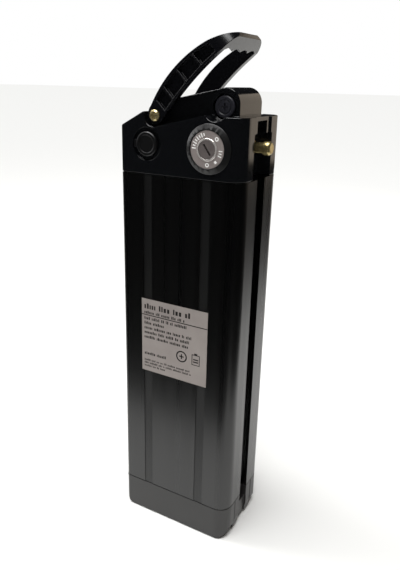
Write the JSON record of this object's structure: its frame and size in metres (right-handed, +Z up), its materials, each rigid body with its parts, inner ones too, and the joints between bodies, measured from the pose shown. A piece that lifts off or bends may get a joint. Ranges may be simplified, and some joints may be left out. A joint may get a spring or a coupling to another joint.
{
  "type": "battery pack",
  "caption": "Tall slim battery pack with a bowed carry handle, key lock with sliding bolt, fuse, charge port and a guide channel down its rail side.",
  "frame": {"origin": "centre of the base, on the plane the pack stands on", "axes": "+X across the wide face towards the guide channel, +Y from the lock side through the depth, +Z up the pack"},
  "size_m": [0.1188, 0.0799, 0.4411],
  "materials": {
    "anodised_aluminium": "satin black anodised extrusion",
    "cap_plastic": "glossy black moulding",
    "foot_plastic": "fine textured black moulding",
    "seal_rubber": "matt black",
    "handle_plastic": "glossy black moulding",
    "plain_steel": "zinc plated",
    "yellow_zinc_steel": "yellow passivated zinc",
    "bezel_plastic": "satin black moulding",
    "satin_steel": "satin silver with printed marks",
    "zinc_casting": "polished die casting",
    "plug_zinc": "dull grey casting",
    "turned_brass": "turned brass",
    "bush_brass": "turned brass",
    "socket_plastic": "black moulding",
    "contact_brass": "tinned brass",
    "cover_rubber": "soft black moulding",
    "fuse_tube_glass": "clear tube",
    "nickel_plate": "bright nickel",
    "label_film": "silver grey film with dark print",
    "black_steel": "black oxide",
    "cell_sleeve": "shrink sleeve",
    "holder_plastic": "black moulding",
    "insulating_paper": "pressed barley paper",
    "foam": "closed cell foam",
    "board_laminate": "green lacquered laminate",
    "chip_epoxy": "moulded epoxy",
    "heat_sink_aluminium": "plain extrusion",
    "connector_nylon": "natural nylon",
    "red_insulation": "silicone insulation",
    "black_insulation": "silicone insulation"
  },
  "bodies": {
    "case": {"case_tube": "anodised_aluminium", "top_cap": "cap_plastic", "bottom_cap": "foot_plastic", "top_gasket": "seal_rubber", "bottom_gasket": "seal_rubber", "handle_pivot_sleeves": "plain_steel", "handle_pivot_screws": "yellow_zinc_steel", "lock_bezel": "bezel_plastic", "lock_face": "satin_steel", "lock_housing": "zinc_casting", "lock_nut": "plain_steel", "bolt_bush": "bush_brass", "charge_socket": "socket_plastic", "charge_contact": "contact_brass", "charge_socket_nut": "plain_steel", "fuse_holder": "socket_plastic", "fuse_glass": "fuse_tube_glass", "fuse_end_caps": "nickel_plate", "rating_label": "label_film", "top_cap_screws": "black_steel", "bottom_cap_screws": "black_steel", "battery_cells": "cell_sleeve", "cell_holder_front": "holder_plastic", "cell_holder_rear": "holder_plastic", "nickel_strips_front": "nickel_plate", "nickel_strips_rear": "nickel_plate", "insulating_sheet_front": "insulating_paper", "insulating_sheet_rear": "insulating_paper", "foam_pad_bottom": "foam", "foam_pad_top": "foam", "bms_board": "board_laminate", "bms_transistors": "chip_epoxy", "bms_heat_sink": "heat_sink_aluminium", "balance_connector": "connector_nylon", "discharge_socket": "socket_plastic", "discharge_blades": "contact_brass", "positive_lead": "red_insulation", "negative_lead": "black_insulation"},
    "handle": {"carry_handle": "handle_plastic"},
    "lock_plug": {"lock_barrel": "plug_zinc", "lock_cam": "plain_steel"},
    "bolt": {"lock_bolt": "turned_brass"},
    "port_cover": {"charge_port_cover": "cover_rubber"},
    "fuse_plug": {"fuse_cap": "bezel_plastic"}
  },
  "joints": [
    {"name": "handle_swing", "type": "hinge", "parent": "case", "child": "handle", "pos_m": [-0.0234, 0, 0.3804], "axis": [0, 1, 0], "range_deg": [0, 34]},
    {"name": "lock_turn", "type": "hinge", "parent": "case", "child": "lock_plug", "pos_m": [0.0266, -0.0375, 0.358], "axis": [0, -1, 0], "range_deg": [0, 90]},
    {"name": "lock_bolt_slide", "type": "slide", "parent": "case", "child": "bolt", "axis": [1, 0, 0], "range_m": [-0.00919, 0]},
    {"name": "port_cover_swing", "type": "hinge", "parent": "case", "child": "port_cover", "pos_m": [-0.041, -0.0372, 0.3583], "axis": [0, 0, -1], "range_deg": [0, 120]},
    {"name": "fuse_cap_turn", "type": "hinge", "parent": "case", "child": "fuse_plug", "pos_m": [0.031, -0.0205, 0.3885], "axis": [0, -1, 0], "range_deg": [0, 90]}
  ],
  "couplings": [
    {"joint": "lock_turn", "follows": "lock_bolt_slide", "rad_per_m": -170.88}
  ]
}
